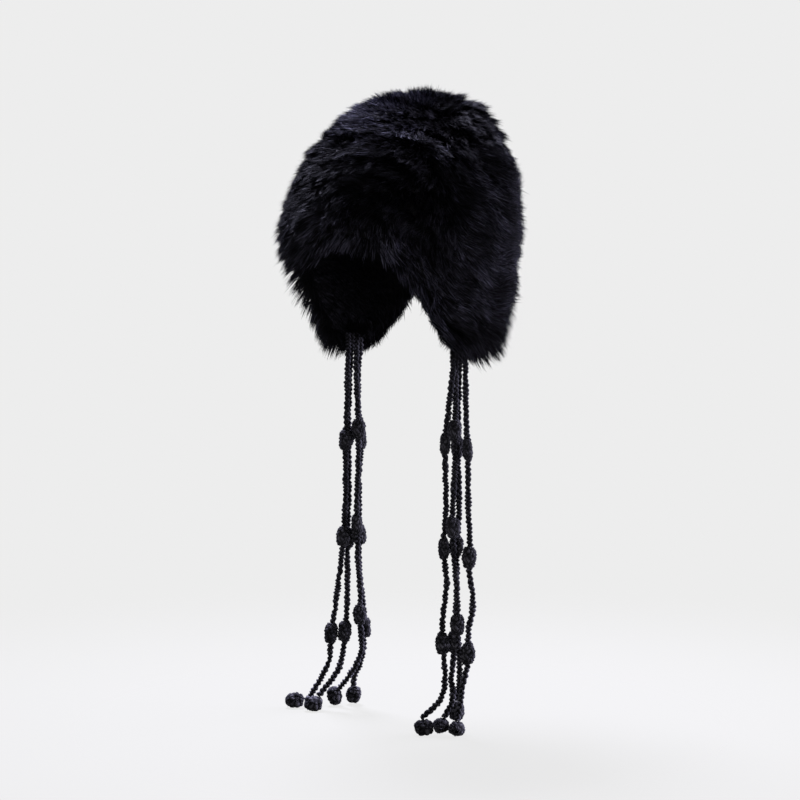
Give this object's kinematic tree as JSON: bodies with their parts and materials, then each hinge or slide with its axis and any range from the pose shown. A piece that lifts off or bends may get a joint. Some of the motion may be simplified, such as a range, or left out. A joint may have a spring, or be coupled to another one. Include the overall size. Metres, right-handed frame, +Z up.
{
  "type": "knit fur hat with ear flaps and corded bobbles",
  "caption": "Domed knitted fur hat with two ear flaps, lapped rows of locks, and long crocheted cords with bobbles hanging from inside the flaps.",
  "frame": {"origin": "the point of the crown's inside that rests on top of the wearer's head", "axes": "+X to the wearer's left, -Y to the brow, +Z up through the crown"},
  "size_m": [0.223, 0.2424, 0.5765],
  "materials": {
    "knit": "matt black knitted net, hidden under pile",
    "fur": "dense black fur with a soft blue-white sheen",
    "cord": "matt charcoal-black crocheted yarn",
    "bobble": "matt charcoal-black crochet stitches"
  },
  "bodies": {
    "root": {"knit_base": "knit", "fur_outer": "fur", "cord_left_1": "cord", "cord_left_2": "cord", "cord_left_3": "cord", "cord_left_4": "cord", "cord_right_1": "cord", "cord_right_2": "cord", "cord_right_3": "cord", "cord_right_4": "cord", "bobble_left_1_1": "bobble", "bobble_left_1_2": "bobble", "bobble_left_1_3": "bobble", "bobble_left_1_end": "bobble", "bobble_left_2_1": "bobble", "bobble_left_2_2": "bobble", "bobble_left_2_3": "bobble", "bobble_left_2_end": "bobble", "bobble_left_3_1": "bobble", "bobble_left_3_2": "bobble", "bobble_left_3_3": "bobble", "bobble_left_3_end": "bobble", "bobble_left_4_1": "bobble", "bobble_left_4_2": "bobble", "bobble_left_4_3": "bobble", "bobble_left_4_end": "bobble", "bobble_right_1_1": "bobble", "bobble_right_1_2": "bobble", "bobble_right_1_3": "bobble", "bobble_right_1_end": "bobble", "bobble_right_2_1": "bobble", "bobble_right_2_2": "bobble", "bobble_right_2_3": "bobble", "bobble_right_2_end": "bobble", "bobble_right_3_1": "bobble", "bobble_right_3_2": "bobble", "bobble_right_3_3": "bobble", "bobble_right_3_end": "bobble", "bobble_right_4_1": "bobble", "bobble_right_4_2": "bobble", "bobble_right_4_3": "bobble", "bobble_right_4_end": "bobble"}
  },
  "joints": []
}
